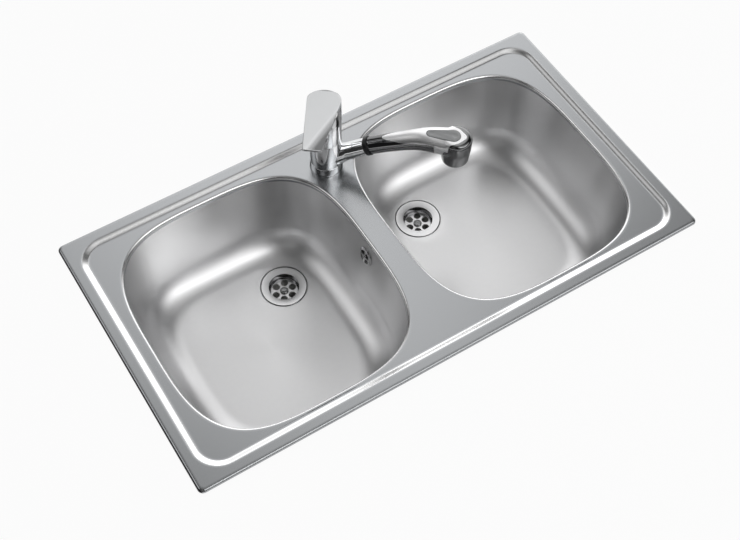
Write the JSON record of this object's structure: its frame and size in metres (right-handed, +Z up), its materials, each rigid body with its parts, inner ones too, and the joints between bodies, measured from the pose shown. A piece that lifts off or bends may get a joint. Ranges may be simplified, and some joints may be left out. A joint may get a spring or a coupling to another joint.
{
  "type": "double bowl kitchen sink",
  "caption": "Lay-on stainless steel sink with two round-cornered bowls, basket wastes, an overflow and a single-lever tap with a swivelling spout and a pull-out spray.",
  "frame": {"origin": "in the worktop's plane, under the rim, at the centre of the rim's rectangle", "axes": "+X along the long side towards the right bowl, +Y to the back where the tap stands, +Z up"},
  "size_m": [0.8, 0.435, 0.3949],
  "materials": {
    "brushed_steel": "satin",
    "polished_steel": "polished",
    "chrome": "polished",
    "satin_chrome": "satin",
    "zinc_steel": "satin",
    "brass": "satin",
    "black_plastic": "matte",
    "grey_plastic": "matte",
    "white_plastic": "satin",
    "pipe_plastic": "satin",
    "dark_rubber": "matte",
    "braided_hose": "satin",
    "index_red": "gloss"
  },
  "bodies": {
    "sink": {"deck": "brushed_steel", "left_bowl": "brushed_steel", "right_bowl": "brushed_steel", "rim_seal": "dark_rubber", "front_clip_rail": "zinc_steel", "front_clip": "zinc_steel", "front_clip_screw": "zinc_steel", "back_clip_rail": "zinc_steel", "back_clip": "zinc_steel", "back_clip_screw": "zinc_steel", "left_clip_rail": "zinc_steel", "left_clip": "zinc_steel", "left_clip_screw": "zinc_steel", "right_clip_rail": "zinc_steel", "right_clip": "zinc_steel", "right_clip_screw": "zinc_steel", "left_waste_flange": "polished_steel", "left_waste_screw": "polished_steel", "left_waste_seal": "dark_rubber", "left_waste_body": "white_plastic", "right_waste_flange": "polished_steel", "right_waste_screw": "polished_steel", "right_waste_seal": "dark_rubber", "right_waste_body": "white_plastic", "overflow_rosette": "polished_steel", "overflow_screw": "polished_steel", "overflow_seal": "dark_rubber", "overflow_elbow": "pipe_plastic", "overflow_pipe": "pipe_plastic", "tap_gasket": "dark_rubber", "tap_base": "chrome", "tap_body": "chrome", "cartridge_dome": "chrome", "lower_glide_ring": "white_plastic", "upper_glide_ring": "white_plastic", "tap_cartridge": "grey_plastic", "cartridge_nut": "brass", "tap_shank": "brass", "tap_nut": "brass", "hot_inlet": "brass", "cold_inlet": "brass", "tap_support_plate": "black_plastic", "tap_steel_washer": "zinc_steel"},
    "spout": {"spout_arm": "chrome", "docking_ring": "black_plastic"},
    "spray": {"spray_shell": "satin_chrome", "spray_tube": "chrome", "spray_head": "chrome", "nozzle_plate": "black_plastic", "aerator": "grey_plastic", "hose_nut": "brass", "spray_hose": "braided_hose", "pad_pin": "zinc_steel"},
    "mode_pad": {"spray_pad": "grey_plastic"},
    "lever_carrier": {"lever_spindle": "brass", "lever_pin": "zinc_steel"},
    "lever": {"lever_stem": "brass", "lever_handle": "satin_chrome", "lever_grub_screw": "zinc_steel", "index_plug": "index_red"}
  },
  "joints": [
    {"name": "spout_swivel", "type": "hinge", "parent": "sink", "child": "spout", "pos_m": [0, 0.15, 0.04], "axis": [0, 0, 1], "range_deg": [-120.4, 19.6]},
    {"name": "spray_pull", "type": "slide", "parent": "spout", "child": "spray", "axis": [0.6706, -0.5548, 0.4924], "range_m": [0, 0.04]},
    {"name": "spray_mode", "type": "hinge", "parent": "spray", "child": "mode_pad", "pos_m": [0.12791, 0.04419, 0.0931], "axis": [0.6374, 0.7705, 0], "range_deg": [-3.5, 3.5]},
    {"name": "lever_turn", "type": "hinge", "parent": "sink", "child": "lever_carrier", "pos_m": [0, 0.15, 0.1], "axis": [0, 0, 1], "range_deg": [-12.2, 87.8]},
    {"name": "lever_lift", "type": "hinge", "parent": "lever_carrier", "child": "lever", "pos_m": [0, 0.15, 0.1057], "axis": [-0.7902, 0.6129, 0], "range_deg": [0, 25]}
  ]
}
